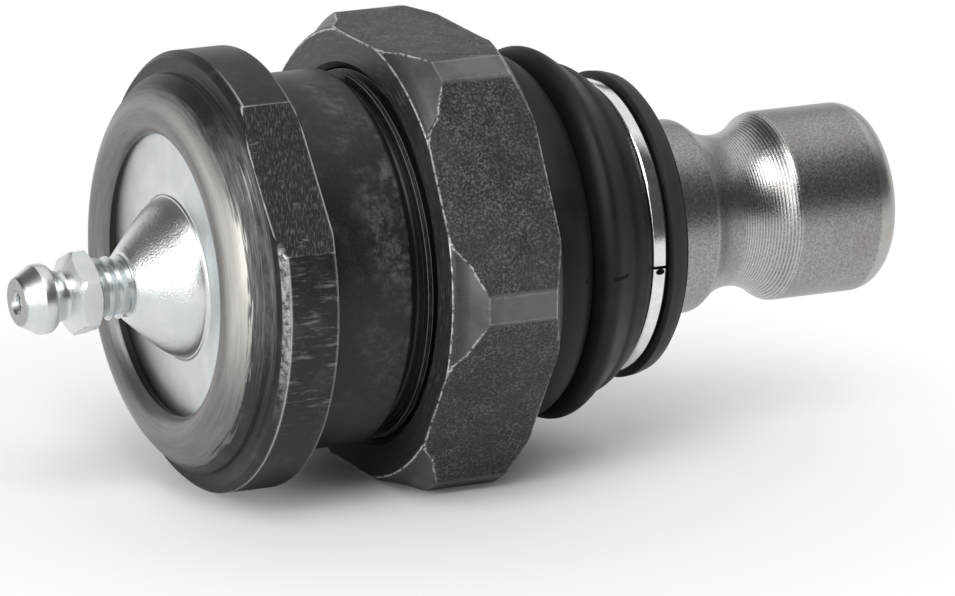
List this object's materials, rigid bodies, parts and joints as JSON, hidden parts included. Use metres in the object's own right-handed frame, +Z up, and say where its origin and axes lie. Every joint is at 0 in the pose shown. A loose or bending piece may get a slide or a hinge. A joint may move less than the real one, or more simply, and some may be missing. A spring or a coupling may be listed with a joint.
{
  "type": "suspension ball joint",
  "caption": "Suspension ball joint with a pinch-bolt stud, a bolt-through housing clamped by a large hexagon nut, a rubber dust boot and a grease fitting.",
  "frame": {"origin": "centre of the ball", "axes": "+X along the stud, away from the grease fitting; +Z up when the joint lies on a flat of its nut and on its round head"},
  "size_m": [0.0875, 0.0462, 0.041],
  "materials": {
    "black_steel": "black phosphate, smooth, worn bright on edges",
    "nut_black": "black phosphate on rough forged flats",
    "zinc_plate": "bright zinc plate on steel",
    "bare_steel": "turned, bare, satin",
    "bright_steel": "polished",
    "spring_steel": "drawn, oiled",
    "acetal": "natural moulded acetal",
    "seal_rubber": "moulded rubber",
    "boot_rubber": "matt moulded rubber"
  },
  "bodies": {
    "housing": {"housing": "black_steel", "arm_nut": "nut_black", "end_cover": "zinc_plate", "cover_seal": "seal_rubber", "grease_fitting_body": "zinc_plate", "upper_bearing": "acetal", "lower_bearing": "acetal", "preload_spring": "spring_steel", "boot_base_ring": "spring_steel", "grease_fitting_spring": "spring_steel"},
    "swing_plane": {"dust_boot": "boot_rubber"},
    "boot_end": {"boot_stud_band": "bright_steel", "stud_slip_ring": "acetal"},
    "stud": {"ball_stud": "bare_steel"},
    "check_ball": {"grease_fitting_ball": "bright_steel"}
  },
  "joints": [
    {"name": "swing_direction", "type": "hinge", "parent": "housing", "child": "swing_plane", "pos_m": [0, 0, 0], "axis": [1, 0, 0], "continuous": true},
    {"name": "stud_swing", "type": "hinge", "parent": "swing_plane", "child": "boot_end", "pos_m": [0, 0, 0], "axis": [0, 0, 1], "range_deg": [-18, 18], "deforming": ["dust_boot"]},
    {"name": "stud_spin", "type": "hinge", "parent": "boot_end", "child": "stud", "pos_m": [0, 0, 0], "axis": [1, 0, 0], "continuous": true},
    {"name": "grease_check_ball", "type": "slide", "parent": "housing", "child": "check_ball", "axis": [1, 0, 0], "range_m": [0, 0.0006], "stiffness_N_per_m": 400, "springref_m": -0.001, "deforming": ["grease_fitting_spring"]}
  ]
}
